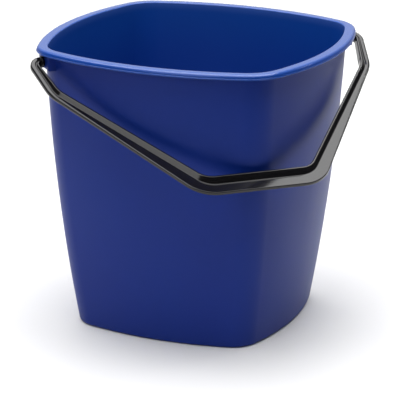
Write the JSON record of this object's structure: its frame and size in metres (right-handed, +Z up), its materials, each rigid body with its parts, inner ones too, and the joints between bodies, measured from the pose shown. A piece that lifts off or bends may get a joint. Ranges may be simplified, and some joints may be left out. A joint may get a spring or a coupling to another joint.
{
  "type": "wash bucket",
  "caption": "Square plastic wash bucket with rounded corners, bowed sides, a turned-down rim and a swinging bail hung on two opposite corners.",
  "frame": {"origin": "middle of the plane that the foot ring stands on, under the centre of the bucket", "axes": "+Z up; +X along the bail's pivot axis, through two opposite corners; -Y towards the pouring corner, where the bail hangs"},
  "size_m": [0.325, 0.3092, 0.263],
  "materials": {
    "bucket_shell": "satin moulded blue polypropylene",
    "handle": "glossy moulded black plastic"
  },
  "bodies": {
    "bucket": {"bucket": "bucket_shell"},
    "handle": {"handle": "handle"}
  },
  "joints": [
    {"name": "bail_swing", "type": "hinge", "parent": "bucket", "child": "handle", "pos_m": [0, 0, 0.2508], "axis": [-1, 0, 0], "range_deg": [0, 239.8]}
  ]
}
